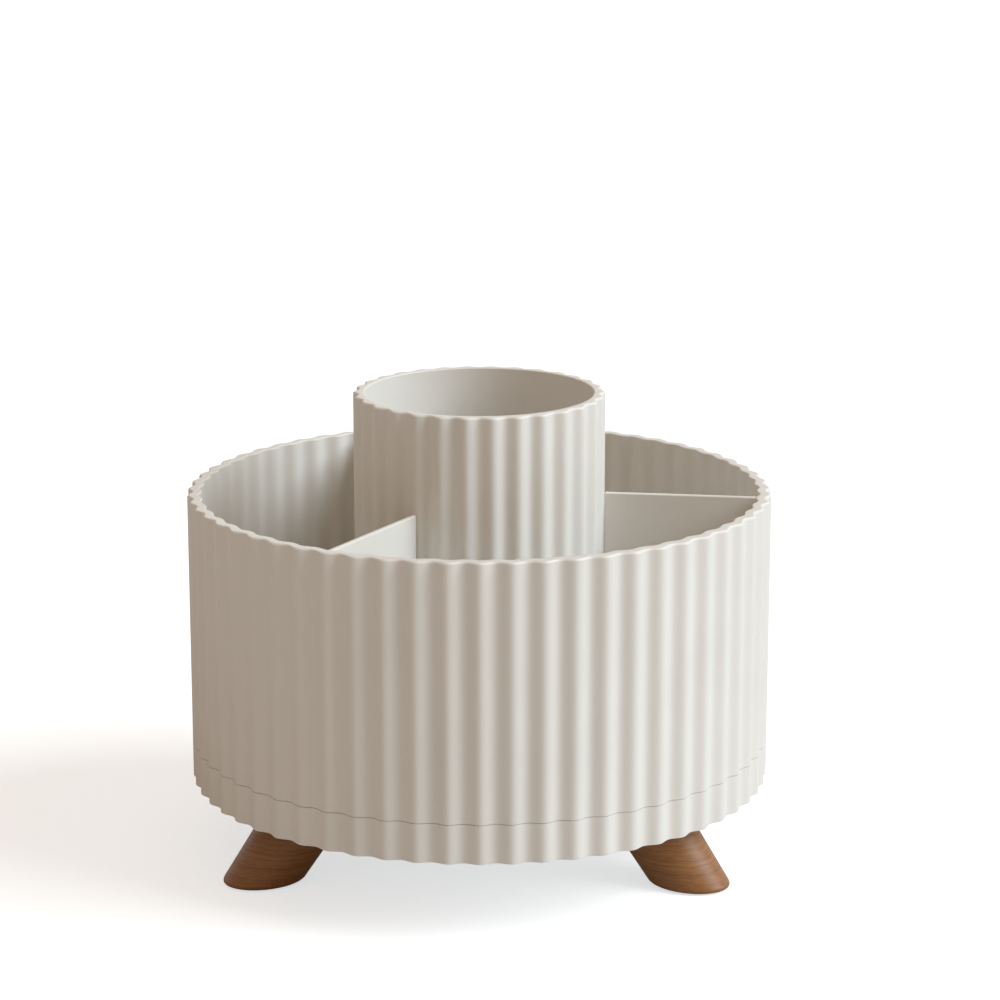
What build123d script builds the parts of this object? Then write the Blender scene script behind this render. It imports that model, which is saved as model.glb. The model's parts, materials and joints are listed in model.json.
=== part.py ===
from build123d import *
from math import cos, radians, sin, tan
import os

# Rotating organizer: a fluted drum with three compartments turns on a ball race above a low
# fluted base on three splayed wooden legs. A fluted brush cup lifts out of the middle.
# Millimetres and degrees. +Z is up, the floor is Z 0 and the spin axis is X 0, Y 0.
# The front is -Y, and azimuths count from +X towards +Y.

# ---- Fluted shells: drum and base share one outline, so their flutes line up at rest
crest_radius = 112.0          # spin axis to the crest of a flute
flute_count = 60
flute_depth = 1.7             # crest to valley, outside
flute_azimuth = -90.0         # a crest faces the front
drum_wall = 4.4               # crest to crest through the drum wall
inner_flute_depth = 0.8       # crest to valley, inside the drum
skirt_wall = 4.6              # outer crest to the smooth inside of the drum below its floor

# ---- Heights
ground_clearance = 31.0       # floor to the lower edge of the base
base_height = 14.7            # height of the base's fluted band
seam_gap = 0.5                # running gap between base and drum
drum_height = 97.3            # lower edge of the drum to its rim
floor_thickness = 2.5         # drum floor
race_pad_height = 3.0         # raised ring under the drum floor that the upper race seats on

# ---- Base housing
deck_recess = 4.0             # lower edge of the base up to the underside of its deck
deck_thickness = 2.5
base_wall = 5.0               # outer crest to the inside of the base's rim, under the deck
lip_height = 3.5              # dust lip that stands up inside the drum's skirt
lip_wall = 1.6
lip_clearance = 0.5
rib_count = 9
rib_thickness = 1.6
rib_setback = 0.6             # ribs, bosses and sockets end this far above the base's lower edge

# ---- Legs: turned and tapered, splayed outwards, sawn level at the foot and at the deck
leg_azimuths = {"leg_front_left": -151.7, "leg_front_right": -31.7, "leg_rear": 88.3}
leg_lean = 38.5               # from vertical
leg_foot_diameter = 25.7      # across the leg where its axis meets the floor
leg_taper = 1.7               # growth of the radius up the leg, degrees
foot_inset = 17.0             # outer crest to the foot's centre on the floor
socket_wall = 1.8             # collar round the leg's top, under the deck
socket_clearance = 0.15
pad_diameter = 17.0           # soft pad let into each foot
pad_thickness = 1.5
pad_proud = 0.5
pad_clearance = 0.2

# ---- Ball race
ball_diameter = 6.0
ball_count = 8
ball_clearance = 0.1          # ball to the flanks of the race grooves
race_lip_gap = 7.0            # dust lip to the race's outer edge
race_width = 12.0             # grooved part of each race
race_flange_width = 8.0       # thin inner flange that takes the screws
race_flange_thickness = 1.5
race_land = 1.7               # level of the balls' centres to the flat face of each race
groove_half_angle = 45.0      # of the V that the balls run in
bearing_height = 12.5         # deck to the drum's race pad
cage_thickness = 2.0
cage_width = 9.0
pocket_clearance = 0.15

# ---- Spindle: shoulder bolt in a brass insert, with a flanged bush in the drum's hub
shoulder_diameter = 8.0
running_clearance = 0.05      # shoulder to bush
thread_diameter = 6.0
insert_diameter = 9.0
insert_length = 7.5
base_hub_diameter = 20.0
base_hub_rise = 3.0           # deck to the top of the base's hub
hub_gap = 0.6                 # base hub to drum hub
hub_wall = 2.5
bush_wall = 1.95
bush_flange_thickness = 1.2
bush_flange_overhang = 2.5
washer_diameter = 16.0
washer_thickness = 1.0
washer_gap = 0.1              # bush flange to washer
head_diameter = 14.0
head_height = 3.0
head_rise = 0.3               # top of the bolt above the drum floor, under the cup
hex_socket_across = 5.0
hex_socket_depth = 1.8
counterbore_clearance = 1.0   # round the washer, in the drum's hub
fit_clearance = 0.05          # pressed and screwed pieces in their holes

# ---- Screws
race_screw_diameter = 3.0
race_screw_length = 5.5
race_screw_head = 5.6
race_screw_head_height = 2.0
race_screw_count = 3
boss_wall = 2.0
leg_screw_diameter = 4.0
leg_screw_length = 20.0
leg_screw_head = 8.0
leg_screw_head_height = 2.5
leg_screw_offset = 4.6        # outwards from the leg's axis at the deck
hole_end = 0.6                # blind holes end this far past the screw

# ---- Dividers: flat panels in floor slots and wall grooves
divider_azimuths = {"divider_left": -120.0, "divider_right": -8.0, "divider_rear": 116.0}
divider_thickness = 2.0
divider_drop = 0.3            # drum rim down to the top of a divider
slot_depth = 1.2              # into the drum floor
wall_groove_depth = 1.2       # into the drum wall, from the valley of its inner flutes

# ---- Brush cup
cup_crest_radius = 48.2
cup_flute_count = 30
cup_flute_depth = 1.6
cup_flute_azimuth = -84.0     # a valley faces the front
cup_wall = 4.4                # crest to the smooth inside
cup_rise = 37.8               # cup rim above the drum rim
cup_floor = 2.5
cup_foot_height = 2.5         # hollow under the cup, clear of the spindle bolt
cup_foot_wall = 5.2           # crest to the inside of the foot ring
cup_clearance = 0.4           # cup to collar and to dividers
collar_wall = 1.8             # low ring on the drum floor that centres the cup
collar_height = 6.0

# ---- Levels that follow
deck_bottom = ground_clearance + deck_recess
deck_top = deck_bottom + deck_thickness
under_level = ground_clearance + rib_setback
base_top = ground_clearance + base_height
drum_bottom = base_top + seam_gap
pad_face = deck_top + bearing_height
floor_bottom = pad_face + race_pad_height
floor_top = floor_bottom + floor_thickness
rim_level = drum_bottom + drum_height
cup_top = rim_level + cup_rise

# ---- Radii that follow
inner_crest_radius = crest_radius - drum_wall
skirt_radius = crest_radius - skirt_wall
lip_radius = skirt_radius - lip_clearance
well_radius = lip_radius - lip_wall
race_outer_radius = well_radius - race_lip_gap
race_inner_radius = race_outer_radius - race_width
flange_radius = race_inner_radius - race_flange_width
ball_circle_radius = (race_outer_radius + race_inner_radius) / 2
race_screw_radius = (race_inner_radius + flange_radius) / 2
collar_radius = cup_crest_radius + cup_clearance
collar_outer_radius = collar_radius + collar_wall
foot_radius = crest_radius - foot_inset

overrun = 20.0                # tools and blanks run this far past what they cut
first_leg = leg_azimuths["leg_rear"]
race_screw_azimuth = first_leg + 180 / len(leg_azimuths)


def polar(radius, azimuth, z=0):
    """Point at a radius and azimuth about the spin axis."""
    return Vector(radius * cos(radians(azimuth)), radius * sin(radians(azimuth)), z)


def fluted_face(crest, count, depth, azimuth, mode=Mode.ADD):
    """Face in the open sketch: a round crest and a round valley for each flute."""
    pitch = 360 / count
    middle = crest - depth / 2
    with BuildLine() as outline:
        for flute in range(count):
            top = azimuth + flute * pitch
            rise, fall, end = top - pitch / 4, top + pitch / 4, top + 3 * pitch / 4
            ThreePointArc(polar(middle, rise), polar(crest, top), polar(middle, fall))
            ThreePointArc(polar(middle, fall), polar(crest - depth, top + pitch / 2), polar(middle, end))
    make_face(outline.edges(), mode=mode)


def ring_band(low, high, outer, inner, mode=Mode.ADD):
    """Plain ring about the spin axis, in the open part."""
    with BuildSketch(Plane.XY.offset(low)) as section:
        Circle(outer)
        Circle(inner, mode=Mode.SUBTRACT)
    extrude(section.sketch, amount=high - low, mode=mode)


def disc(low, high, radius, mode=Mode.ADD, places=((0, 0),)):
    """Upright cylinders from one level to another, in the open part."""
    with BuildSketch(Plane.XY.offset(low)) as section:
        with Locations(*places):
            Circle(radius)
    extrude(section.sketch, amount=high - low, mode=mode)


def race_screw_places():
    """Centres of the race screws, between the legs."""
    return [polar(race_screw_radius, race_screw_azimuth + turn * 360 / race_screw_count)
            for turn in range(race_screw_count)]


def leg_plane(azimuth):
    """Plane square to a leg's axis where the axis meets the floor, its normal up the leg."""
    up = polar(-sin(radians(leg_lean)), azimuth, cos(radians(leg_lean)))
    return Plane(origin=polar(foot_radius, azimuth), x_dir=polar(1, azimuth + 90), z_dir=up)


leg_axis_length = (deck_bottom + overrun) / cos(radians(leg_lean))


def leg_blank(azimuth, grow=0, mode=Mode.ADD):
    """Tapered turning along a leg's axis, past the floor and past the deck, in the open part."""
    slope = tan(radians(leg_taper))
    low_radius = leg_foot_diameter / 2 + grow - overrun * slope
    with Locations(leg_plane(azimuth).offset(-overrun)):
        Cone(low_radius, low_radius + (leg_axis_length + overrun) * slope, leg_axis_length + overrun,
             align=(Align.CENTER, Align.CENTER, Align.MIN), mode=mode)


def leg_screw_place(azimuth):
    """Centre of a leg's screw at the deck."""
    axis_radius = foot_radius - deck_bottom * tan(radians(leg_lean))
    return polar(axis_radius + leg_screw_offset, azimuth)


def save(built, name):
    """Label a finished piece and write it."""
    built.part.label = name
    export_step(built.part, f"parts/{name}.step")


os.makedirs("parts", exist_ok=True)

# ---- Base housing: sockets for the legs, fluted band, deck, dust lip, ribs, bosses and hub
with BuildPart() as base_housing:
    for azimuth in leg_azimuths.values():
        leg_blank(azimuth, grow=socket_clearance + socket_wall)
    for azimuth in leg_azimuths.values():
        leg_blank(azimuth, grow=socket_clearance, mode=Mode.SUBTRACT)
    split(bisect_by=Plane.XY.offset(under_level), keep=Keep.TOP)
    split(bisect_by=Plane.XY.offset(deck_bottom), keep=Keep.BOTTOM)

    with BuildSketch(Plane.XY.offset(ground_clearance)):
        fluted_face(crest_radius, flute_count, flute_depth, flute_azimuth)
        Circle(crest_radius - base_wall, mode=Mode.SUBTRACT)
    extrude(amount=deck_recess)
    with BuildSketch(Plane.XY.offset(deck_bottom)):
        fluted_face(crest_radius, flute_count, flute_depth, flute_azimuth)
    extrude(amount=base_top - deck_bottom)
    disc(deck_top, base_top, well_radius, mode=Mode.SUBTRACT)
    ring_band(base_top, base_top + lip_height, lip_radius, well_radius)

    disc(under_level, deck_top + base_hub_rise, base_hub_diameter / 2)
    with BuildSketch(Plane.XY.offset(under_level)):
        with PolarLocations(0, rib_count, start_angle=first_leg + 180 / rib_count):
            Rectangle(crest_radius - base_wall / 2, rib_thickness, align=(Align.MIN, Align.CENTER))
    extrude(amount=deck_bottom - under_level)
    disc(under_level, deck_bottom, race_screw_diameter / 2 + boss_wall, places=race_screw_places())

    insert_bottom = deck_top + base_hub_rise - insert_length
    disc(insert_bottom, deck_top + base_hub_rise, insert_diameter / 2 + fit_clearance, mode=Mode.SUBTRACT)
    race_screw_end = deck_top + race_flange_thickness - race_screw_length
    disc(race_screw_end - hole_end, deck_top, race_screw_diameter / 2 + fit_clearance,
         mode=Mode.SUBTRACT, places=race_screw_places())
    disc(deck_bottom, deck_top, leg_screw_diameter / 2 + fit_clearance,
         mode=Mode.SUBTRACT, places=[leg_screw_place(azimuth) for azimuth in leg_azimuths.values()])
save(base_housing, "base_housing")

# ---- Legs, each with a recess for its pad and a pilot hole for its screw, and the pads
for name, azimuth in leg_azimuths.items():
    screw_place = leg_screw_place(azimuth)
    screw_end = deck_top - leg_screw_length
    foot_place = polar(foot_radius, azimuth)
    with BuildPart() as leg:
        leg_blank(azimuth)
        split(bisect_by=Plane.XY.offset(deck_bottom), keep=Keep.BOTTOM)
        split(bisect_by=Plane.XY.offset(pad_proud), keep=Keep.TOP)
        disc(pad_proud, pad_thickness, pad_diameter / 2 + pad_clearance, mode=Mode.SUBTRACT,
             places=(foot_place,))
        disc(screw_end - hole_end, deck_bottom, leg_screw_diameter / 2 + fit_clearance,
             mode=Mode.SUBTRACT, places=(screw_place,))
    save(leg, name)
    with BuildPart() as foot_pad:
        disc(0, pad_thickness, pad_diameter / 2, places=(foot_place,))
    save(foot_pad, name.replace("leg", "foot_pad"))

with BuildPart() as leg_screws:
    places = [leg_screw_place(azimuth) for azimuth in leg_azimuths.values()]
    disc(deck_top - leg_screw_length, deck_top, leg_screw_diameter / 2, places=places)
    disc(deck_top, deck_top + leg_screw_head_height, leg_screw_head / 2, places=places)
save(leg_screws, "leg_screws")


# ---- Ball race: two grooved rings, a cage and its balls
def race_profile(seat, direction):
    """Half section of a race in the XZ plane: thin flange inside, V-grooved ring outside."""
    ball_level = seat + direction * bearing_height / 2
    face = ball_level - direction * race_land
    flange_face = seat + direction * race_flange_thickness
    apex_depth = (ball_diameter / 2 + ball_clearance) / sin(radians(groove_half_angle))
    groove_half_width = (apex_depth - race_land) * tan(radians(groove_half_angle))
    with BuildLine() as outline:
        Polyline((flange_radius, seat), (flange_radius, flange_face), (race_inner_radius, flange_face),
                 (race_inner_radius, face), (ball_circle_radius - groove_half_width, face),
                 (ball_circle_radius, ball_level - direction * apex_depth),
                 (ball_circle_radius + groove_half_width, face), (race_outer_radius, face),
                 (race_outer_radius, seat), close=True)
    make_face(outline.edges())


def race_ring(seat, direction):
    """Race turned about the spin axis from its seat, with its screw holes, in the open part."""
    with BuildSketch(Plane.XZ) as section:
        race_profile(seat, direction)
    revolve(section.sketch, axis=Axis.Z)
    low, high = sorted((seat, seat + direction * race_flange_thickness))
    disc(low, high, race_screw_diameter / 2 + fit_clearance, mode=Mode.SUBTRACT,
         places=race_screw_places())


def race_screws(seat, direction):
    """Pan-head screws through a race's flange, in the open part."""
    flange_face = seat + direction * race_flange_thickness
    low, high = sorted((flange_face, flange_face + direction * race_screw_head_height))
    disc(low, high, race_screw_head / 2, places=race_screw_places())
    low, high = sorted((flange_face, flange_face - direction * race_screw_length))
    disc(low, high, race_screw_diameter / 2, places=race_screw_places())


with BuildPart() as lower_race:
    race_ring(deck_top, 1)
save(lower_race, "lower_race")

with BuildPart() as lower_race_screws:
    race_screws(deck_top, 1)
save(lower_race_screws, "lower_race_screws")

with BuildPart() as upper_race:
    race_ring(pad_face, -1)
save(upper_race, "upper_race")

with BuildPart() as upper_race_screws:
    race_screws(pad_face, -1)
save(upper_race_screws, "upper_race_screws")

ball_level = deck_top + bearing_height / 2
with BuildPart() as ball_cage:
    with BuildSketch(Plane.XY.offset(ball_level - cage_thickness / 2)):
        Circle(ball_circle_radius + cage_width / 2)
        Circle(ball_circle_radius - cage_width / 2, mode=Mode.SUBTRACT)
        with PolarLocations(ball_circle_radius, ball_count):
            Circle(ball_diameter / 2 + pocket_clearance, mode=Mode.SUBTRACT)
    extrude(amount=cage_thickness)
save(ball_cage, "ball_cage")

with BuildPart(Plane.XY.offset(ball_level)) as bearing_balls:
    with PolarLocations(ball_circle_radius, ball_count):
        Sphere(ball_diameter / 2)
save(bearing_balls, "bearing_balls")

# ---- Spindle, seated on the base's hub
hub_top = deck_top + base_hub_rise
bush_bottom = hub_top + hub_gap
head_bottom = floor_top + head_rise - head_height
washer_bottom = head_bottom - washer_thickness
flange_top = washer_bottom - washer_gap
counterbore_bottom = flange_top - bush_flange_thickness

with BuildPart() as spindle_insert:
    disc(insert_bottom, hub_top, insert_diameter / 2)
    disc(insert_bottom, hub_top, thread_diameter / 2 + fit_clearance, mode=Mode.SUBTRACT)
save(spindle_insert, "spindle_insert")

with BuildPart() as spindle_bolt:
    disc(insert_bottom, hub_top, thread_diameter / 2)
    disc(hub_top, head_bottom, shoulder_diameter / 2)
    disc(head_bottom, head_bottom + head_height, head_diameter / 2)
    with BuildSketch(Plane.XY.offset(head_bottom + head_height)):
        RegularPolygon(hex_socket_across / 2, 6, major_radius=False)
    extrude(amount=-hex_socket_depth, mode=Mode.SUBTRACT)
save(spindle_bolt, "spindle_bolt")

with BuildPart() as spindle_washer:
    ring_band(washer_bottom, head_bottom, washer_diameter / 2, shoulder_diameter / 2 + fit_clearance)
save(spindle_washer, "spindle_washer")

bush_bore = shoulder_diameter / 2 + running_clearance
bush_radius = bush_bore + bush_wall
with BuildPart() as spindle_bush:
    disc(bush_bottom, counterbore_bottom, bush_radius)
    disc(counterbore_bottom, flange_top, bush_radius + bush_flange_overhang)
    disc(bush_bottom, flange_top, bush_bore, mode=Mode.SUBTRACT)
save(spindle_bush, "spindle_bush")

# ---- Drum: fluted wall, floor, skirt, hub, race pad, cup collar and divider slots
counterbore_radius = washer_diameter / 2 + counterbore_clearance
slot_width = divider_thickness + fit_clearance * 2
groove_radius = inner_crest_radius - inner_flute_depth + wall_groove_depth
slot_bottom = floor_top - slot_depth
with BuildPart() as drum:
    with BuildSketch(Plane.XY.offset(drum_bottom)):
        fluted_face(crest_radius, flute_count, flute_depth, flute_azimuth)
    extrude(amount=drum_height)
    with BuildSketch(Plane.XY.offset(floor_top)):
        fluted_face(inner_crest_radius, flute_count, inner_flute_depth, flute_azimuth)
    extrude(amount=rim_level - floor_top, mode=Mode.SUBTRACT)
    disc(drum_bottom, floor_bottom, skirt_radius, mode=Mode.SUBTRACT)

    ring_band(pad_face, floor_bottom, race_outer_radius, flange_radius)
    ring_band(floor_top, floor_top + collar_height, collar_outer_radius, collar_radius)
    disc(bush_bottom, floor_bottom, counterbore_radius + hub_wall)
    disc(bush_bottom, floor_top, bush_radius + fit_clearance, mode=Mode.SUBTRACT)
    disc(counterbore_bottom, floor_top, counterbore_radius, mode=Mode.SUBTRACT)
    screw_tip = pad_face - race_flange_thickness + race_screw_length
    disc(pad_face, screw_tip + hole_end, race_screw_diameter / 2 + fit_clearance, mode=Mode.SUBTRACT,
         places=race_screw_places())

    for azimuth in divider_azimuths.values():
        with BuildSketch(Plane.XY.offset(slot_bottom).rotated((0, 0, azimuth))):
            with Locations((collar_outer_radius, 0)):
                Rectangle(groove_radius - collar_outer_radius, slot_width,
                          align=(Align.MIN, Align.CENTER))
        extrude(amount=rim_level - slot_bottom, mode=Mode.SUBTRACT)
save(drum, "drum")

# ---- Dividers, notched at the foot to clear the collar
notch_radius = collar_outer_radius + fit_clearance
notch_level = floor_top + collar_height + fit_clearance
divider_top = rim_level - divider_drop
for name, azimuth in divider_azimuths.items():
    upright = Plane(origin=polar(0, 0), x_dir=polar(1, azimuth), z_dir=polar(1, azimuth - 90))
    with BuildPart() as divider:
        with BuildSketch(upright):
            with BuildLine():
                Polyline((notch_radius, slot_bottom), (groove_radius - fit_clearance, slot_bottom),
                         (groove_radius - fit_clearance, divider_top), (collar_radius, divider_top),
                         (collar_radius, notch_level), (notch_radius, notch_level), close=True)
            make_face()
        extrude(amount=divider_thickness / 2, both=True)
    save(divider, name)

# ---- Brush cup, standing on the drum floor inside the collar
with BuildPart() as brush_cup:
    with BuildSketch(Plane.XY.offset(floor_top)):
        fluted_face(cup_crest_radius, cup_flute_count, cup_flute_depth, cup_flute_azimuth)
    extrude(amount=cup_top - floor_top)
    disc(floor_top, floor_top + cup_foot_height, cup_crest_radius - cup_foot_wall, mode=Mode.SUBTRACT)
    disc(floor_top + cup_foot_height + cup_floor, cup_top, cup_crest_radius - cup_wall,
         mode=Mode.SUBTRACT)
save(brush_cup, "brush_cup")
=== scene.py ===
# %% [markdown]
# # Dressing a rotating organizer
# The object is a round, fluted vanity organizer: a drum with three open compartments that turns on a
# low base, three splayed walnut legs, and a fluted cup that lifts out of the middle.
# The construction comes in as a fixed frame of finished parts. Here each part that shows gets its
# moulded or turned surface, and every part gets its finish. Lengths are in metres.

# %% The frame
import json
from math import atan2, cos, degrees, hypot, pi, radians, sin, tan

import bmesh
import bpy
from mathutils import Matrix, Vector


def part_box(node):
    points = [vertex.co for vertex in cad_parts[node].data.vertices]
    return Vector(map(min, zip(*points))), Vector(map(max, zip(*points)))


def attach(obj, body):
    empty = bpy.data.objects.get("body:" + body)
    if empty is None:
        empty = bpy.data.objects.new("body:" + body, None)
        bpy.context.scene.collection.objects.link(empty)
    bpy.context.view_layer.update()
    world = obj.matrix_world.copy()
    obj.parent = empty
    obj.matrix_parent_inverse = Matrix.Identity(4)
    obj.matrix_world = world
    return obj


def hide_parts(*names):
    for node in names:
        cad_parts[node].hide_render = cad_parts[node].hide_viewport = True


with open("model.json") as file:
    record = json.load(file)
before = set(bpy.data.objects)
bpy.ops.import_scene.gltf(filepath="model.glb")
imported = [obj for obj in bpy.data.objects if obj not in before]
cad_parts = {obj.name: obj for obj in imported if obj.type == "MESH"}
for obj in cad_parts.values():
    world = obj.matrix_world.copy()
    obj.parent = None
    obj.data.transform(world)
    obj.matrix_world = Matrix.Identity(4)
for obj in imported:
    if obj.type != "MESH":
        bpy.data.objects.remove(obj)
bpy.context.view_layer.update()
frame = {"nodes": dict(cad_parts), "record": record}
bpy.ops.object.select_all(action="DESELECT")
MM = 0.001

# %% [markdown]
# ## Picking and pressing
# Modelling by hand is a row of small moves: pick some points, then extrude, scale or bevel them.
# A script does the same if it can pick by place instead of by mouse. Two helpers do that: one picks
# points in edit mode by a test on their position, the other picks the edges whose two ends pass it.
# A rounded edge beside a long wall has one more trap: the smooth shading leans over along the whole
# wall. Weighting the normals by area keeps the lean inside the rounding, so every piece ends with it.

# %% Helpers for edit mode
def pick(piece, wanted, edges=False):
    """In edit mode, select the points or the edges of which every end gives the same true answer."""
    bpy.ops.mesh.select_mode(type="EDGE" if edges else "VERT")
    bpy.ops.mesh.select_all(action="DESELECT")
    mesh = bmesh.from_edit_mesh(piece.data)
    for element in mesh.edges if edges else mesh.verts:
        answers = {wanted(end.co) for end in (element.verts if edges else [element])}
        element.select = len(answers) == 1 and bool(answers.pop())
    mesh.select_flush_mode()
    bmesh.update_edit_mesh(piece.data)


def near(a, b, slack=0.02 * MM):
    return abs(a - b) < slack


def radius_of(point):
    return hypot(point.x, point.y)


def start_piece(name):
    """Name the primitive that was just added, put its place into its mesh and open it for editing."""
    piece = bpy.context.object
    piece.name = piece.data.name = name
    bpy.ops.object.transform_apply(location=True, rotation=True, scale=True)
    bpy.ops.object.mode_set(mode="EDIT")
    return piece


def finish_piece(piece, angle=35):
    """Close the seams, turn the faces outwards, smooth all but the real edges and keep flats flat."""
    bpy.ops.mesh.select_all(action="SELECT")
    bpy.ops.mesh.remove_doubles(threshold=0.001 * MM)
    bpy.ops.mesh.normals_make_consistent(inside=False)
    bpy.ops.object.mode_set(mode="OBJECT")
    bpy.ops.object.shade_smooth_by_angle(angle=radians(angle))
    bpy.ops.object.modifier_add(type="WEIGHTED_NORMAL")
    weighting = piece.modifiers[-1]
    weighting.keep_sharp = True
    bpy.ops.object.modifier_apply(modifier=weighting.name)
    piece.select_set(False)
    print(piece.name, len(piece.data.polygons), "faces")
    return piece


# %% [markdown]
# ## Round parts as rings
# The drum, the base and the cup are injection moulded and round, so their section tells everything
# but the flutes. A spin of a drawn section would do, but leaves a seam. Starting with one circle and
# extruding it from corner to corner of the section gives the same body with no seam, and every corner
# stays a clean ring of edges that can be rounded with a bevel.

# %% Turn a section about the spin axis
def extrude_ring(start, end):
    """Extrude the picked ring from one (radius, height) of the section to the next."""
    bpy.ops.mesh.extrude_edges_move()
    widen = end[0] / start[0]
    bpy.ops.transform.resize(value=(widen, widen, 1), center_override=(0, 0, start[1]))
    bpy.ops.transform.translate(value=(0, 0, end[1] - start[1]))


def turn_section(name, section, columns, poles=False):
    """Body of rings. With poles, the first and the last ring are filled in to the axis."""
    bpy.ops.mesh.primitive_circle_add(vertices=columns, radius=section[0][0], location=(0, 0, section[0][1]))
    piece = start_piece(name)
    bpy.ops.mesh.select_all(action="SELECT")
    for start, end in zip(section, section[1:]):
        extrude_ring(start, end)
    if poles:
        for radius, height in (section[-1], section[0]):
            pick(piece, lambda point: near(radius_of(point), radius) and near(point.z, height), edges=True)
            bpy.ops.mesh.extrude_edges_move()
            bpy.ops.mesh.merge(type="CENTER")
    else:
        ends = (section[0], section[-1])
        pick(piece, lambda point: any(near(radius_of(point), radius) and near(point.z, height)
                                      for radius, height in ends), edges=True)
        mesh = bmesh.from_edit_mesh(piece.data)
        for edge in mesh.edges:
            edge.select = edge.select and edge.is_boundary
        bmesh.update_edit_mesh(piece.data)
        bpy.ops.mesh.bridge_edge_loops()
    return piece


def round_rings(piece, corners, rounding, segments=3):
    """Bevel the rings of edges at these corners of the section."""
    def corner_number(point):
        for number, (radius, height) in enumerate(corners, start=1):
            if near(radius_of(point), radius) and near(point.z, height):
                return number

    pick(piece, corner_number, edges=True)
    bpy.ops.mesh.bevel(offset=rounding, segments=segments, affect="EDGES")


# %% [markdown]
# ## Flutes
# The real shell is moulded with a soft wave, and drum and base carry the same wave so that the flutes
# run through the seam. Displacement in the material would leave the outline round, and the outline
# is what shows the flutes. So the wave is pressed into the mesh: all columns of points at one phase
# of the wave are picked together and scaled towards the axis by the depth that the wave has there.

# %% Press the wave into a wall
def press_flutes(piece, columns, flutes, crest_azimuth, crest, depth, in_wall):
    """Scale the picked wall's columns towards the axis, phase by phase."""
    per_flute = columns // flutes

    def phase(point):
        turned = degrees(atan2(point.y, point.x)) - crest_azimuth
        return round(turned * columns / 360) % per_flute

    for step in range(1, per_flute // 2 + 1):
        pressed = 1 - depth * (1 - cos(2 * pi * step / per_flute)) / 2 / crest
        pick(piece, lambda point: in_wall(point) and phase(point) in (step, per_flute - step))
        bpy.ops.transform.resize(value=(pressed, pressed, 1), center_override=(0, 0, 0))


# %% [markdown]
# ## Sizes
# The frame gives the outer sizes. The walls and steps inside are those of the moulded parts.

# %% Sizes shared by the shells
base_box, drum_box, cup_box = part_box("base_housing"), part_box("drum"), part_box("brush_cup")
crest = drum_box[1].x
flutes, flute_depth, inner_depth, crest_azimuth = 60, 1.7 * MM, 1.2 * MM, -90
per_flute = 16
drum_columns = flutes * per_flute
wall, plate = 4.4 * MM, 2.5 * MM
inner_crest, skirt = crest - wall, crest - 4.6 * MM
outer_rounding, inner_rounding, edge_rounding = 1.0 * MM, 0.5 * MM, 0.3 * MM
rim_level, base_bottom = drum_box[1].z, base_box[0].z
band_height, seam_gap = 14.7 * MM, 0.5 * MM
seam_level = base_bottom + band_height
# The gap that lets the drum run looks like a hairline, so the two shells are drawn closer here.
seam_closing, seam_rounding = 0.17 * MM, 0.12 * MM
drum_low, band_top = seam_level + seam_gap - seam_closing, seam_level + seam_closing
deck_bottom = base_bottom + 4.0 * MM
deck_top = deck_bottom + plate
race_height, race_seat = 12.5 * MM, 3.0 * MM
pad_face = deck_top + race_height
floor_bottom = pad_face + race_seat
floor_top = floor_bottom + plate
levels = {"rim": rim_level, "floor": floor_top, "seam": seam_level}
print({name: round(level / MM, 1) for name, level in levels.items()}, "mm")

# %% [markdown]
# ## Drum
# One moulded shell: fluted wall, floor, a collar that centres the cup, and below the floor a skirt,
# the ring that the upper race seats on, and the hub. Its section is a closed loop, so the last ring is
# bridged back to the first. The wave outside is deeper than inside, as the wall keeps its thickness.

# %% Drum shell
collar_inner, collar_outer, collar_top = 48.6 * MM, 50.4 * MM, floor_top + 6.0 * MM
race_inner, race_outer = 78.3 * MM, 98.3 * MM
bore, counterbore, hub = 6.05 * MM, 9.0 * MM, 11.5 * MM
counterbore_level, hub_bottom = floor_top - 5.0 * MM, drum_box[0].z
wall_fillet, collar_fillet = 2.0 * MM, 0.6 * MM
drum_section = [
    (skirt, drum_low), (crest, drum_low), (crest, rim_level), (inner_crest, rim_level),
    (inner_crest, floor_top), (collar_outer, floor_top), (collar_outer, collar_top),
    (collar_inner, collar_top), (collar_inner, floor_top), (counterbore, floor_top),
    (counterbore, counterbore_level), (bore, counterbore_level), (bore, hub_bottom), (hub, hub_bottom),
    (hub, floor_bottom), (race_inner, floor_bottom), (race_inner, pad_face), (race_outer, pad_face),
    (race_outer, floor_bottom), (skirt, floor_bottom)]
drum = turn_section("drum_shell", drum_section, drum_columns)
round_rings(drum, [(crest, rim_level)], outer_rounding, segments=5)
round_rings(drum, [(inner_crest, rim_level)], inner_rounding)
round_rings(drum, [(collar_outer, collar_top), (collar_inner, collar_top), (counterbore, floor_top),
                   (hub, hub_bottom)], edge_rounding, segments=2)
round_rings(drum, [(crest, drum_low)], seam_rounding, segments=2)
round_rings(drum, [(inner_crest, floor_top)], wall_fillet, segments=4)
round_rings(drum, [(collar_outer, floor_top), (collar_inner, floor_top)], collar_fillet, segments=2)
mid_wall, slack = (crest + inner_crest) / 2, 0.1 * MM


def in_inner_wall(point):
    past_fillet = inner_crest - wall_fillet - 2 * slack
    return past_fillet < radius_of(point) < mid_wall and point.z > floor_top + slack


press_flutes(drum, drum_columns, flutes, crest_azimuth, inner_crest, inner_depth, in_inner_wall)
press_flutes(drum, drum_columns, flutes, crest_azimuth, crest, flute_depth,
             lambda point: radius_of(point) > mid_wall)
finish_piece(drum)

# %% [markdown]
# ## Base
# The base is a shallow tray: fluted band, a deck that carries the lower race, a lip that keeps dust
# out of the race, and a hub for the spindle. It is turned the same way. The hub closes at the axis, so
# the section ends in poles. Underneath it is stiffened by ribs, which come after.

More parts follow.
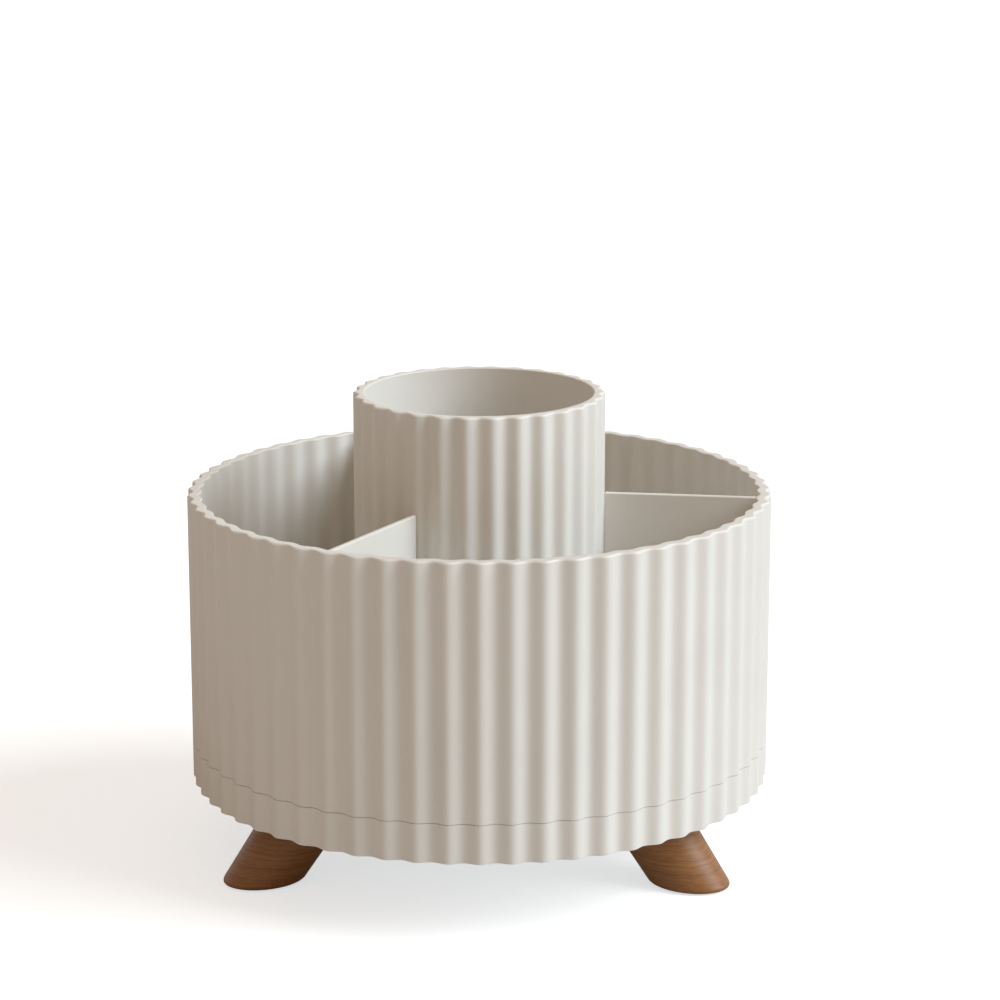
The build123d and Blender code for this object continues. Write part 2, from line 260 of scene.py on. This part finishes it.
# %% Base shell
base_inner = crest - 5.0 * MM
lip_outer, lip_inner, lip_top = skirt - 0.5 * MM, skirt - 2.1 * MM, base_box[1].z
base_hub, insert_hole = 10.0 * MM, 4.55 * MM
base_hub_top, insert_bottom = deck_top + 3.0 * MM, deck_top - 4.5 * MM
under_level, base_fillet = base_bottom + 0.6 * MM, 1.0 * MM
base_section = [
    (insert_hole, insert_bottom), (insert_hole, base_hub_top), (base_hub, base_hub_top),
    (base_hub, deck_top), (lip_inner, deck_top), (lip_inner, lip_top), (lip_outer, lip_top),
    (lip_outer, band_top), (crest, band_top), (crest, base_bottom), (base_inner, base_bottom),
    (base_inner, deck_bottom), (base_hub, deck_bottom), (base_hub, under_level)]
base = turn_section("base_shell", base_section, drum_columns, poles=True)
round_rings(base, [(crest, base_bottom), (base_inner, base_bottom), (lip_inner, lip_top),
                   (lip_outer, lip_top), (base_hub, under_level)], edge_rounding, segments=2)
round_rings(base, [(crest, band_top)], seam_rounding, segments=2)
round_rings(base, [(base_inner, deck_bottom), (base_hub, deck_top)], base_fillet)
press_flutes(base, drum_columns, flutes, crest_azimuth, crest, flute_depth,
             lambda point: radius_of(point) > (crest + skirt) / 2)
finish_piece(base)

# %% [markdown]
# ## Cup
# The cup repeats the wave on a smaller circle with half as many flutes. Inside it is smooth, with a
# wide fillet at the floor that lets the tool pull out, and below the floor it stands on a ring foot.

# %% Cup shell
cup_crest, cup_flutes, cup_depth, cup_azimuth = 48.2 * MM, 30, 1.6 * MM, -84
cup_columns = cup_flutes * per_flute
cup_top, cup_inner, cup_foot = cup_box[1].z, cup_crest - wall, cup_crest - 5.2 * MM
cup_floor_bottom, cup_fillet = floor_top + 2.5 * MM, 3.0 * MM
cup_floor_top = cup_floor_bottom + plate
cup_middle = cup_foot / 8
cup_section = [
    (cup_middle, cup_floor_top), (cup_inner, cup_floor_top), (cup_inner, cup_top), (cup_crest, cup_top),
    (cup_crest, floor_top), (cup_foot, floor_top), (cup_foot, cup_floor_bottom),
    (cup_middle, cup_floor_bottom)]
cup = turn_section("cup_shell", cup_section, cup_columns, poles=True)
round_rings(cup, [(cup_crest, cup_top)], outer_rounding, segments=5)
round_rings(cup, [(cup_inner, cup_top)], inner_rounding)
round_rings(cup, [(cup_crest, floor_top), (cup_foot, floor_top)], edge_rounding, segments=2)
round_rings(cup, [(cup_inner, cup_floor_top)], cup_fillet, segments=5)
press_flutes(cup, cup_columns, cup_flutes, cup_azimuth, cup_crest, cup_depth,
             lambda point: radius_of(point) > (cup_crest + cup_inner) / 2)
finish_piece(cup)

# %% [markdown]
# ## Dividers
# Three flat panels stand in slots of the drum. Each starts as a plane on the drum's radius, gets its
# stepped foot by an extrusion over the collar, then its thickness, and a soft edge along the top where
# fingers touch it. The same steps make all three, and each is turned to its place at the end.

# %% Divider panels
divider_azimuths = {"divider_left": -120, "divider_right": -8, "divider_rear": 116}
divider_thickness, divider_drop = 2.0 * MM, 0.3 * MM
fit, wall_groove, floor_slot = 0.05 * MM, 0.3 * MM, 1.15 * MM
panel_inner, panel_outer = collar_outer + fit, inner_crest + wall_groove
panel_bottom, panel_top = floor_top - floor_slot, rim_level - divider_drop
notch_level = collar_top + fit
top_softening, end_softening = 0.6 * MM, 0.4 * MM


def round_long_edges(piece, on_side, rounding, segments):
    """Bevel the edges along this narrow side, and leave those that cross the thickness."""
    pick(piece, lambda point: on_side(point) and 1 + (point.y > 0), edges=True)
    bpy.ops.mesh.bevel(offset=rounding, segments=segments, affect="EDGES")


def turn_to(piece, azimuth):
    """Turn a piece made along +X to its azimuth; with no window, rotate turns the other way."""
    bpy.ops.mesh.select_all(action="SELECT")
    bpy.ops.transform.rotate(value=-radians(azimuth), orient_axis="Z", center_override=(0, 0, 0))


def divider(name, azimuth):
    width, height = panel_outer - panel_inner, panel_top - panel_bottom
    middle = (panel_inner + width / 2, 0, panel_bottom + height / 2)
    bpy.ops.mesh.primitive_plane_add(size=1, location=middle, rotation=(pi / 2, 0, 0))
    bpy.context.object.scale = (width, height, 1)
    piece = start_piece(name + "_panel")
    bpy.ops.mesh.select_all(action="SELECT")
    bpy.ops.mesh.bisect(plane_co=(0, 0, notch_level), plane_no=(0, 0, 1))
    pick(piece, lambda point: near(point.x, panel_inner) and point.z > notch_level - fit / 5, edges=True)
    bpy.ops.mesh.extrude_edges_move()
    bpy.ops.transform.translate(value=(collar_inner - panel_inner, 0, 0))
    bpy.ops.mesh.select_all(action="SELECT")
    bpy.ops.transform.translate(value=(0, -divider_thickness / 2, 0))
    bpy.ops.mesh.extrude_region_move()
    bpy.ops.transform.translate(value=(0, divider_thickness, 0))
    bpy.ops.mesh.select_all(action="SELECT")
    bpy.ops.mesh.dissolve_limited(angle_limit=radians(1))
    round_long_edges(piece, lambda point: near(point.z, panel_top), top_softening, 4)
    round_long_edges(piece, lambda point: near(point.x, collar_inner), end_softening, 3)
    turn_to(piece, azimuth)
    return finish_piece(piece)


dividers = [divider(name, azimuth) for name, azimuth in divider_azimuths.items()]

# %% [markdown]
# ## Legs
# Each leg is turned as a slim cone on its own leaning axis and then sawn level at the foot and at the
# deck. So it starts as a long cone along that axis, and two bisections with fill do the sawing. The
# sawn foot has its sharp edge sanded round, which the light shows as a soft lower edge.

# %% Turned legs
leg_azimuths = {"leg_front_left": -151.7, "leg_front_right": -31.7, "leg_rear": 88.3}
leg_lean, leg_taper, leg_sides = radians(38.5), tan(radians(1.7)), 128
pad_low, pad_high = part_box("foot_pad_rear")
foot_radius, foot_circle = 25.7 / 2 * MM, radius_of((pad_low + pad_high) / 2)
foot_level, foot_softening = 0.5 * MM, 2.2 * MM
overrun = 20 * MM


def at_azimuth(radius, azimuth, height=0.0):
    """Point at this radius, azimuth in degrees and height."""
    return Vector((radius * cos(radians(azimuth)), radius * sin(radians(azimuth)), height))


def leaning_cone(name, azimuth, clearance=0.0, ends="NGON"):
    """Long cone on a leg's leaning axis, wider than the leg by the clearance, open for editing."""
    up = at_azimuth(-sin(leg_lean), azimuth, cos(leg_lean))
    length = deck_bottom / cos(leg_lean) + 2 * overrun
    low_radius = foot_radius - overrun * leg_taper + clearance
    bpy.ops.mesh.primitive_cone_add(
        vertices=leg_sides, radius1=low_radius, radius2=low_radius + length * leg_taper, depth=length,
        end_fill_type=ends, location=at_azimuth(foot_circle, azimuth) + up * (length / 2 - overrun),
        rotation=up.to_track_quat("Z", "Y").to_euler())
    return start_piece(name)


def saw_level(low, high):
    """Cut the piece level at both heights, keep what is between and close the cuts."""
    for level, cut_off in ((low, "clear_inner"), (high, "clear_outer")):
        bpy.ops.mesh.select_all(action="SELECT")
        bpy.ops.mesh.bisect(plane_co=(0, 0, level), plane_no=(0, 0, 1), use_fill=True, **{cut_off: True})


def turned_leg(name, azimuth):
    piece = leaning_cone(name + "_turned", azimuth)
    saw_level(foot_level, deck_bottom)
    pick(piece, lambda point: near(point.z, foot_level), edges=True)
    bpy.ops.mesh.bevel(offset_type="WIDTH", offset=foot_softening, segments=6, affect="EDGES")
    return finish_piece(piece, angle=50)


legs = [turned_leg(name, azimuth) for name, azimuth in leg_azimuths.items()]

# %% [markdown]
# ## Foot pads
# A soft pad is let into each foot and stands half a millimetre proud, so the wood never touches the
# table. It is a disc with a rounded rim and a ring pressed into its face, to keep it from sucking on.

# %% Foot pads
pad_radius, pad_height, pad_rounding = 8.5 * MM, 1.5 * MM, 0.35 * MM
pad_border, pad_dent = 2.0 * MM, 0.3 * MM


def round_level(piece, level, rounding, segments):
    """Bevel the edges that lie at this level."""
    pick(piece, lambda point: near(point.z, level), edges=True)
    bpy.ops.mesh.bevel(offset=rounding, segments=segments, affect="EDGES")


def foot_pad(name, azimuth):
    bpy.ops.mesh.primitive_cylinder_add(vertices=64, radius=pad_radius, depth=pad_height,
                                        location=at_azimuth(foot_circle, azimuth, pad_height / 2))
    piece = start_piece(name + "_soft")
    round_level(piece, 0, pad_rounding, 3)
    bpy.ops.mesh.select_mode(type="FACE")
    mesh = bmesh.from_edit_mesh(piece.data)
    for face in mesh.faces:
        face.select = face.normal.z < -0.99 and len(face.verts) > 4
    bmesh.update_edit_mesh(piece.data)
    bpy.ops.mesh.inset(thickness=pad_border)
    bpy.ops.mesh.inset(thickness=pad_dent, depth=-pad_dent)
    return finish_piece(piece)


pads = [foot_pad(name.replace("leg", "foot_pad"), azimuth) for name, azimuth in leg_azimuths.items()]

# %% [markdown]
# ## Under the deck
# Seen from below, the deck is stiffened by thin ribs from hub to rim, with bosses for the race screws
# and a sloping collar round the top of each leg. Ribs and bosses have rounded lower edges, as moulded
# ones do, and run a little into deck, hub and rim, so that no gap shows.

# %% Ribs and bosses
rib_count, rib_thickness = 9, 1.6 * MM
first_rib = leg_azimuths["leg_rear"] + 360 / rib_count / 2
boss_radius, boss_circle, first_boss = 3.5 * MM, 82.3 * MM, leg_azimuths["leg_rear"] + 60
stiffener_rounding, sunk = 0.4 * MM, 0.3 * MM
socket_wall, leg_clearance = 1.8 * MM, 0.15 * MM
sunk_top = deck_bottom + sunk


def radial_rib(azimuth):
    inner, outer = base_hub - sunk, base_inner + sunk
    middle = ((inner + outer) / 2, 0, (under_level + sunk_top) / 2)
    bpy.ops.mesh.primitive_cube_add(size=1, location=middle)
    bpy.context.object.scale = (outer - inner, rib_thickness, sunk_top - under_level)
    piece = start_piece("rib")
    round_level(piece, under_level, stiffener_rounding, 2)
    turn_to(piece, azimuth)
    return finish_piece(piece)


def screw_boss(azimuth):
    middle = at_azimuth(boss_circle, azimuth, (under_level + sunk_top) / 2)
    bpy.ops.mesh.primitive_cylinder_add(vertices=48, radius=boss_radius, depth=sunk_top - under_level,
                                        location=middle)
    piece = start_piece("boss")
    round_level(piece, under_level, stiffener_rounding, 2)
    return finish_piece(piece)


def leg_socket(azimuth):
    """Sloping collar round a leg's top, sawn level by the deck and just above the base's lower edge."""
    piece = leaning_cone("socket", azimuth, leg_clearance, ends="NOTHING")
    bpy.ops.object.mode_set(mode="OBJECT")
    thickening = piece.modifiers.new("wall", "SOLIDIFY")
    thickening.thickness, thickening.offset = socket_wall, 1
    bpy.ops.object.modifier_apply(modifier=thickening.name)
    bpy.ops.object.mode_set(mode="EDIT")
    saw_level(under_level, sunk_top)
    return finish_piece(piece)


stiffeners = [radial_rib(first_rib + 360 / rib_count * rib) for rib in range(rib_count)]
stiffeners += [screw_boss(first_boss + 120 * turn) for turn in range(3)]
stiffeners += [leg_socket(azimuth) for azimuth in leg_azimuths.values()]
bpy.ops.object.select_all(action="DESELECT")
for piece in stiffeners:
    piece.select_set(True)
bpy.context.view_layer.objects.active = stiffeners[0]
bpy.ops.object.join()
base_ribs = stiffeners[0]
base_ribs.name = base_ribs.data.name = "base_ribs"
base_ribs.select_set(False)
print("ribs:", len(base_ribs.data.polygons), "faces")

# %% [markdown]
# ## Finishes as node groups
# A finish could be wired anew in each material, but cream plastic, acetal and rubber differ only in
# their numbers, and so do the metals. So each effect is a node group that gives out only a colour, a
# roughness and a height, and each material places it with its own numbers. A few helpers keep the
# wiring short.

# %% Node helpers
def new_group(name, inputs):
    """Shader group with these inputs, told apart by their default, that gives colour, gloss, height."""
    group = bpy.data.node_groups.new(name, "ShaderNodeTree")
    for label, default in inputs.items():
        kind = "NodeSocketFloat" if isinstance(default, (int, float)) else "NodeSocketColor"
        socket = group.interface.new_socket(label, in_out="INPUT", socket_type=kind)
        socket.default_value = default
    outputs = {"Colour": "NodeSocketColor", "Roughness": "NodeSocketFloat", "Height": "NodeSocketFloat"}
    for label, kind in outputs.items():
        group.interface.new_socket(label, in_out="OUTPUT", socket_type=kind)
    return group, group.nodes.new("NodeGroupInput").outputs


def node(tree, kind, inputs=(), **settings):
    """Add a node, set its properties, and set or link its inputs by name or number."""
    made = tree.nodes.new(kind)
    for key, value in settings.items():
        setattr(made, key, value)
    for key, value in dict(inputs).items():
        if isinstance(value, bpy.types.NodeSocket):
            tree.links.new(value, made.inputs[key])
        else:
            made.inputs[key].default_value = value
    return made


def maths(tree, operation, *values):
    """Result of a Math node on these numbers or sockets."""
    return node(tree, "ShaderNodeMath", dict(enumerate(values)), operation=operation).outputs[0]


def noise(group, place, scale, detail, roughness=0.5):
    """Value of a noise texture at this place."""
    inputs = {"Vector": place, "Scale": scale, "Detail": detail, "Roughness": roughness}
    return node(group, "ShaderNodeTexNoise", inputs).outputs["Fac"]


def tint(group, colour, drift, amount):
    """Colour that goes lighter and darker by this share of a drift around zero."""
    shade = maths(group, "MULTIPLY_ADD", drift, amount, 1.0)
    return node(group, "ShaderNodeVectorMath", {0: colour, 1: shade}, operation="MULTIPLY").outputs[0]


def give_out(group, **results):
    """Link the results to the group's outputs."""
    node(group, "NodeGroupOutput", results)
    print("group:", group.name)
    return group


# %% [markdown]
# ## Satin plastic
# Real satin plastic is never one flat colour: its tone drifts a little over the part, its gloss is
# uneven, and the tool leaves a very fine grain. One slow noise gives the drift of tone and gloss, and
# one very fine noise gives the grain, which both roughens the gloss and stands in the height.

# %% Moulded satin skin
def moulded_skin_group():
    drift_per_metre, drift_in_gloss, grain_in_gloss = 38.0, 0.25, 0.08
    group, given = new_group("moulded skin", {"Colour": (0.8, 0.8, 0.8, 1), "Drift": 0.03,
                                              "Grain per Metre": 2200.0, "Gloss": 0.5})
    place = node(group, "ShaderNodeTexCoord").outputs["Object"]
    drift = maths(group, "SUBTRACT", noise(group, place, drift_per_metre, 3.0), 0.5)
    tinted = tint(group, given["Colour"], drift, given["Drift"])
    grain = noise(group, place, given["Grain per Metre"], 2.0)
    uneven = maths(group, "MULTIPLY_ADD", drift, drift_in_gloss, given["Gloss"])
    speckled = maths(group, "MULTIPLY_ADD", grain, grain_in_gloss, uneven)
    return give_out(group, Colour=tinted, Roughness=speckled, Height=grain)


moulded_skin = moulded_skin_group()

# %% [markdown]
# ## Walnut
# The layers of this wood lie almost level, so the turned and sawn leg shows them as fine bowed lines
# that follow its foot. Layers differ in width and tone, so a regular wave would look printed. A noise
# that changes only with height, bent a little by a second slow noise, gives uneven layers, and a third
# noise that is stretched along the layers gives the fibres.

# %% Walnut layers
walnut_tones = [(0.30, (0.175, 0.070, 0.021, 1)), (0.45, (0.262, 0.112, 0.036, 1)),
                (0.55, (0.315, 0.140, 0.048, 1)), (0.72, (0.39, 0.19, 0.074, 1))]
dark_roughness, light_roughness = 0.56, 0.46
fibres_per_metre = (260.0, 260.0, 2600.0)
bends_per_metre = 34.0


def ramp(tree, value, stops):
    """Colour ramp through these (place, colour) stops."""
    made = node(tree, "ShaderNodeValToRGB", {0: value})
    elements = made.color_ramp.elements
    while len(elements) < len(stops):
        elements.new(0.5)
    for element, (place, colour) in zip(elements, stops):
        element.position = place
        element.color = colour
    return made.outputs["Color"]


def walnut_group():
    group, given = new_group("walnut layers", {"Layers per Metre": 560.0, "Fibre": 0.45, "Bend": 0.0040})
    place = node(group, "ShaderNodeTexCoord").outputs["Object"]
    slow = noise(group, place, bends_per_metre, 2.0)
    height = node(group, "ShaderNodeSeparateXYZ", {0: place}).outputs["Z"]
    bent = maths(group, "MULTIPLY_ADD", slow, given["Bend"], height)
    layers = node(group, "ShaderNodeTexNoise", {"W": bent, "Scale": given["Layers per Metre"], "Detail": 4.0,
                                                "Roughness": 0.62}, noise_dimensions="1D").outputs["Fac"]
    along = node(group, "ShaderNodeMapping", {"Vector": place, "Scale": fibres_per_metre}).outputs[0]
    fibre = noise(group, along, 1.0, 3.0, 0.6)
    mixed = node(group, "ShaderNodeMix", {0: given["Fibre"], 2: layers, 3: fibre}).outputs[0]
    dull = node(group, "ShaderNodeMapRange", {"Value": mixed, "From Min": 0.3, "From Max": 0.7,
                                              "To Min": dark_roughness, "To Max": light_roughness})
    return give_out(group, Colour=ramp(group, mixed, walnut_tones), Roughness=dull.outputs[0], Height=mixed)


walnut_layers = walnut_group()

# %% [markdown]
# ## Metal
# The race, the screws and the spindle are plated or turned steel and brass. Plating is cloudy and
# holds fine turning marks, so one group gives a cloudy tone, an uneven gloss and fine rings in height.

# %% Worked metal
def metal_group():
    clouds_per_metre, cloud_in_gloss, marks_per_metre = 320.0, 0.5, 900.0
    group, given = new_group("worked metal", {"Colour": (0.6, 0.6, 0.6, 1), "Cloud": 0.12, "Dullness": 0.3})
    place = node(group, "ShaderNodeTexCoord").outputs["Object"]
    cloud = maths(group, "SUBTRACT", noise(group, place, clouds_per_metre, 4.0), 0.5)
    tinted = tint(group, given["Colour"], cloud, given["Cloud"])
    uneven = maths(group, "MULTIPLY_ADD", cloud, cloud_in_gloss, given["Dullness"])
    rings = node(group, "ShaderNodeTexWave", {"Vector": place, "Scale": marks_per_metre, "Distortion": 0.6},
                 wave_type="RINGS", rings_direction="Z").outputs["Fac"]
    return give_out(group, Colour=tinted, Roughness=uneven, Height=rings)


worked_metal = metal_group()

# %% [markdown]
# ## Materials
# A material is one finish: a group with its own numbers, a bump from the group's height, and a
# Principled shader that holds the plain values. Oiled wood has a thin, soft coat and a little sheen.
# Cream parts share one material, so they match as parts from one batch do.

# %% Materials
def make_material(name, group, values, bump, distance, **shader_values):
    """Principled material fed with a group's colour, roughness and height."""
    made = bpy.data.materials.new(name)
    made.use_nodes = True
    tree = made.node_tree
    shader = tree.nodes["Principled BSDF"]
    skin = tree.nodes.new("ShaderNodeGroup")
    skin.node_tree = group
    for label, value in values.items():
        skin.inputs[label].default_value = value
    relief = node(tree, "ShaderNodeBump", {"Strength": bump, "Distance": distance,
                                           "Height": skin.outputs["Height"]})
    tree.links.new(skin.outputs["Colour"], shader.inputs["Base Color"])
    tree.links.new(skin.outputs["Roughness"], shader.inputs["Roughness"])
    tree.links.new(relief.outputs["Normal"], shader.inputs["Normal"])
    for label, value in shader_values.items():
        shader.inputs[label.replace("_", " ")].default_value = value
    return made


cream = make_material(
    "cream satin plastic", moulded_skin, {"Colour": (0.80, 0.785, 0.745, 1), "Drift": 0.05, "Gloss": 0.50},
    bump=0.12, distance=0.05 * MM, Specular_IOR_Level=0.9)
acetal = make_material(
    "natural acetal", moulded_skin, {"Colour": (0.82, 0.82, 0.79, 1), "Drift": 0.04, "Gloss": 0.30},
    bump=0.06, distance=0.05 * MM)
rubber = make_material(
    "soft pad rubber", moulded_skin, {"Colour": (0.035, 0.032, 0.030, 1), "Drift": 0.2, "Gloss": 0.72},
    bump=0.4, distance=0.1 * MM)
walnut = make_material(
    "oiled walnut", walnut_layers, {}, bump=0.2, distance=0.1 * MM, Specular_IOR_Level=0.15,
    Coat_Weight=0.4, Coat_Roughness=0.42, Sheen_Weight=0.25, Sheen_Roughness=0.35,
    Sheen_Tint=(1.0, 0.86, 0.72, 1))
zinc = make_material(
    "zinc plated steel", worked_metal, {"Colour": (0.60, 0.60, 0.61, 1), "Dullness": 0.34},
    bump=0.08, distance=0.02 * MM, Metallic=1.0)
chrome = make_material(
    "polished ball steel", worked_metal,
    {"Colour": (0.72, 0.72, 0.74, 1), "Cloud": 0.03, "Dullness": 0.10},
    bump=0.0, distance=0.01 * MM, Metallic=1.0)
brass = make_material(
    "turned brass", worked_metal, {"Colour": (0.74, 0.52, 0.24, 1), "Dullness": 0.28},
    bump=0.1, distance=0.02 * MM, Metallic=1.0)
print("materials:", len(bpy.data.materials))

# %% [markdown]
# ## Who wears what
# Each new piece rides on the body of the part that it stands for, and the part itself is hidden.
# The inner parts keep their own meshes and only change their material.

# %% Dress the pieces
def wear(piece, material, body, slot, *nodes):
    """Give a piece its material and body, and hide the parts that it stands for."""
    piece.data.materials.clear()
    piece.data.materials.append(material)
    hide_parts(*nodes)
    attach(piece, body)


wear(drum, cream, "turntable", "cream_plastic", "drum")
wear(base, cream, "base", "cream_plastic", "base_housing")
wear(base_ribs, cream, "base", "cream_plastic", "base_housing")
wear(cup, cream, "cup", "cream_plastic", "brush_cup")
for piece, name in zip(dividers, divider_azimuths):
    wear(piece, cream, "turntable", "cream_plastic", name)
for piece, name in zip(legs, leg_azimuths):
    wear(piece, walnut, "base", "walnut", name)
for piece, name in zip(pads, leg_azimuths):
    wear(piece, rubber, "base", "pad_rubber", name.replace("leg", "foot_pad"))

finish_of_slot = {"race_steel": zinc, "screw_steel": zinc, "ball_steel": chrome, "insert_brass": brass,
                  "acetal": acetal, "cream_plastic": cream, "walnut": walnut, "pad_rubber": rubber}
for part in frame["record"]["subparts"]:
    inner = frame["nodes"][part["node"]]
    inner.data.materials.clear()
    inner.data.materials.append(finish_of_slot[part["material_slot"]])
kept = [item.name for item in frame["nodes"].values() if not item.hide_render]
print("dressed:", len(kept), "parts keep their mesh")

# %% [markdown]
# ## Floor
# A plain pale floor keeps the object's soft shadow. Lit alone it would look grey, so to the camera it
# also glows a little, which brings it to white without more light on the object. From below it is
# clear, so that the underside can be looked at too.

# %% Floor
floor_radius, floor_drop = 14, 0.02 * MM
floor_colour, floor_lift = (0.68, 0.68, 0.68, 1), (0.63, 0.65, 0.665, 1)
bpy.ops.mesh.primitive_circle_add(vertices=96, radius=floor_radius, fill_type="NGON",
                                  location=(0, 0, -floor_drop))
floor = bpy.context.object
floor.name = "floor"
ground = bpy.data.materials.new("pale floor")
ground.use_nodes = True
tree = ground.node_tree
tree.nodes.clear()
matt = node(tree, "ShaderNodeBsdfDiffuse", {"Color": floor_colour}).outputs[0]
lift = node(tree, "ShaderNodeEmission", {"Color": floor_lift, "Strength": 1.0}).outputs[0]
lifted = node(tree, "ShaderNodeAddShader", {0: matt, 1: lift}).outputs[0]
seen = node(tree, "ShaderNodeLightPath").outputs["Is Camera Ray"]
from_above = node(tree, "ShaderNodeMixShader", {0: seen, 1: matt, 2: lifted}).outputs[0]
clear = node(tree, "ShaderNodeBsdfTransparent").outputs[0]
below = node(tree, "ShaderNodeNewGeometry").outputs["Backfacing"]
sided = node(tree, "ShaderNodeMixShader", {0: below, 1: from_above, 2: clear}).outputs[0]
node(tree, "ShaderNodeOutputMaterial", {"Surface": sided})
floor.data.materials.append(ground)
print("floor:", floor_radius, "m in radius")

# %% [markdown]
# ## Surround
# The side away from the lamp is lit by a dim, warm surround, as by the walls of a room. The camera,
# gloss and glass see it as plain white instead, so one background serves for the picture and for
# what metal mirrors.

# %% Surround
surround_light, surround_seen = (0.355, 0.248, 0.163, 1), (1, 1, 1, 1)
world = bpy.data.worlds.new("soft surround")
bpy.context.scene.world = world
world.use_nodes = True
tree = world.node_tree
tree.nodes.clear()
rays = node(tree, "ShaderNodeLightPath").outputs
sharp = maths(tree, "MAXIMUM", rays["Is Camera Ray"], rays["Is Glossy Ray"])
sharp = maths(tree, "MAXIMUM", sharp, rays["Is Transmission Ray"])
surround = node(tree, "ShaderNodeMix", {0: sharp, 6: surround_light, 7: surround_seen},
                data_type="RGBA").outputs[2]
backdrop = node(tree, "ShaderNodeBackground", {"Color": surround, "Strength": 1.0}).outputs[0]
node(tree, "ShaderNodeOutputWorld", {"Surface": backdrop})
print("surround:", world.name)

# %% [markdown]
# ## Lamp
# The flutes need light from one side, with soft edges. An area lamp near the object would light the
# near side more than the far side. A sun lamp with a wide angle is as soft and lights all of it
# alike. It comes from the right, a little towards the viewer.

# %% Lamp
lamp_azimuth, lamp_elevation, lamp_spread = -14, 36, 40
lamp_side = at_azimuth(cos(radians(lamp_elevation)), lamp_azimuth, sin(radians(lamp_elevation)))
bpy.ops.object.light_add(type="SUN", location=lamp_side * 2)
lamp = bpy.context.object
lamp.rotation_euler = lamp_side.to_track_quat("Z", "Y").to_euler()
lamp.data.angle = radians(lamp_spread)
lamp.data.energy = 2.92
lamp.data.color = (0.81, 0.918, 0.985)
print("lamp from", [round(value, 2) for value in lamp_side])

# %% [markdown]
# ## Camera
# A long lens from a little above, about twelve hundred millimetres away. The angles look down on the
# rim and a trace to the right, so that the drum stands where it does in the picture.

# %% Camera
lens, sensor = 115.2, 36
distance, height, look_down, look_aside = 1.1958, 0.4062, 14.03, 0.38
camera_data = bpy.data.cameras.new("camera")
camera = bpy.data.objects.new("camera", camera_data)
bpy.context.scene.collection.objects.link(camera)
camera_data.lens, camera_data.sensor_width = lens, sensor
camera.location = (0, -distance, base_bottom + height)
camera.rotation_euler = (radians(90 - look_down), 0, radians(-look_aside))
bpy.context.scene.camera = camera
bpy.context.scene.view_settings.view_transform = "Standard"
print("camera:", lens, "mm lens")
